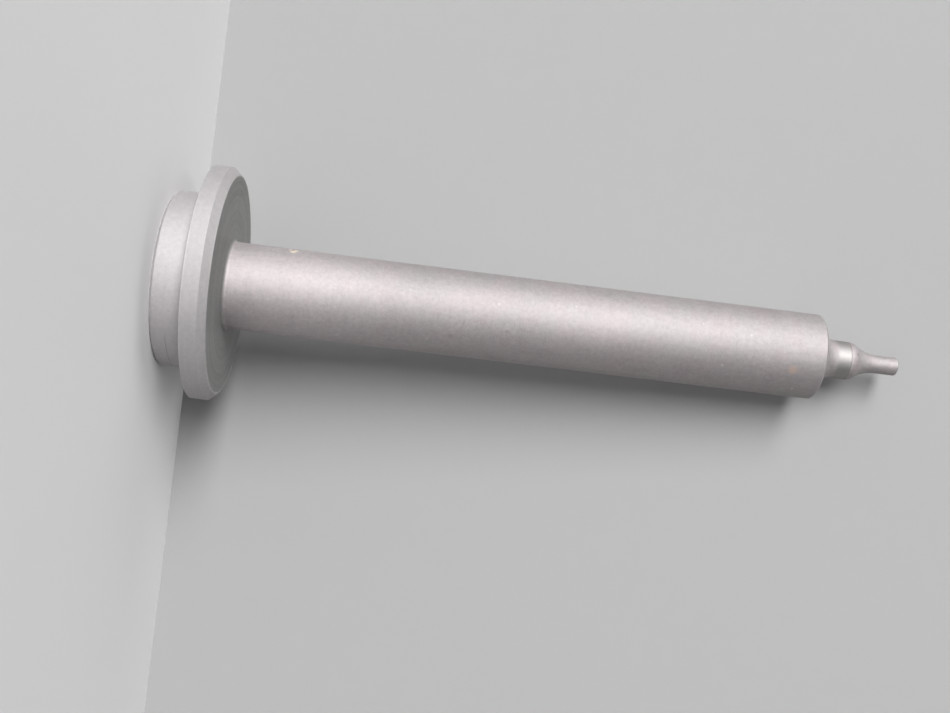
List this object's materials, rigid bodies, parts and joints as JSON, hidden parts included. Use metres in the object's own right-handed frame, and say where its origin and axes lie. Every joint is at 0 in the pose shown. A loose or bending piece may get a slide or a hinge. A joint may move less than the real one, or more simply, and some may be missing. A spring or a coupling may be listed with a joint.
{
  "type": "pintle pin",
  "caption": "Round steel pin with a flanged head and locating boss, a long plain shank, and a ground pilot that tapers to a fine straight nose.",
  "frame": {"origin": "middle of the flat end face of the boss, the face that the pin stands on", "axes": "+Z along the pin's axis from the head to the tip of the nose; X and Y are any two directions across it, because the pin is round"},
  "size_m": [0.0254, 0.0254, 0.0812],
  "materials": {
    "blasted_steel": "fine matt bead-blasted steel, ground smooth on the pilot"
  },
  "bodies": {
    "root": {"pintle_pin": "blasted_steel"}
  },
  "joints": []
}
